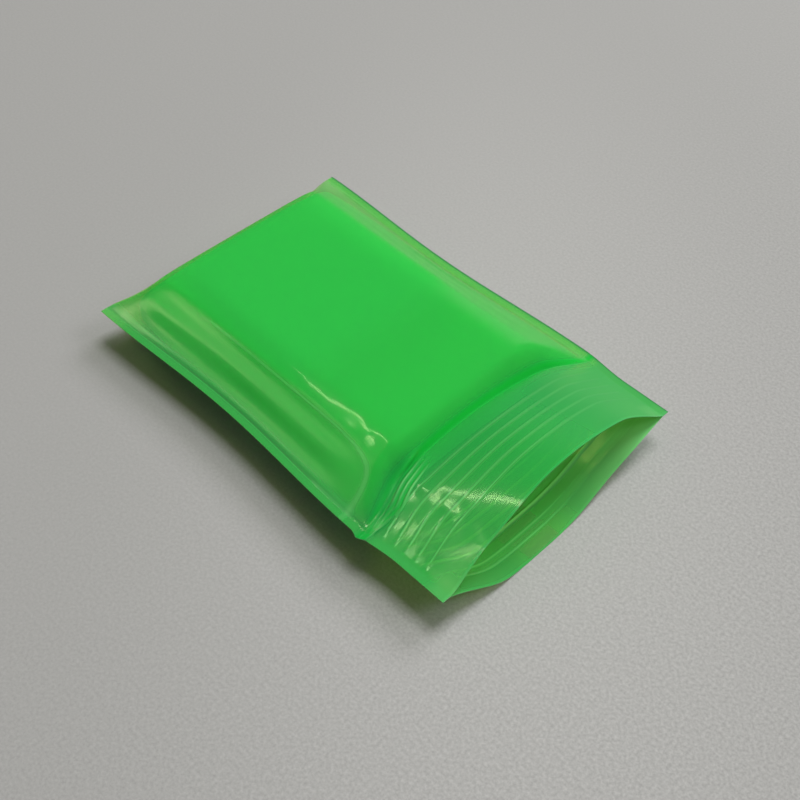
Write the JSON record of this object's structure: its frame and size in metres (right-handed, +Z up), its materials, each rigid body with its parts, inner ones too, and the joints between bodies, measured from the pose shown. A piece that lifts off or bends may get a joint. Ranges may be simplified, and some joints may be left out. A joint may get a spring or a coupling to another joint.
{
  "type": "grip-seal zipper bag",
  "caption": "Small clear green film bag with a grip-seal zipper, lying filled on its back with its mouth open; holds and recloses over small things.",
  "frame": {"origin": "middle of the bag's outline, on the surface it lies on", "axes": "+X along the bag from the folded end to the mouth, +Y across it, +Z up"},
  "size_m": [0.0908, 0.0588, 0.0151],
  "materials": {
    "green_film": "clear green polythene film, glossy, lightly wrinkled",
    "green_filling": "matt, plain green"
  },
  "bodies": {
    "root": {"bag": "green_film", "contents": "green_filling"}
  },
  "joints": []
}
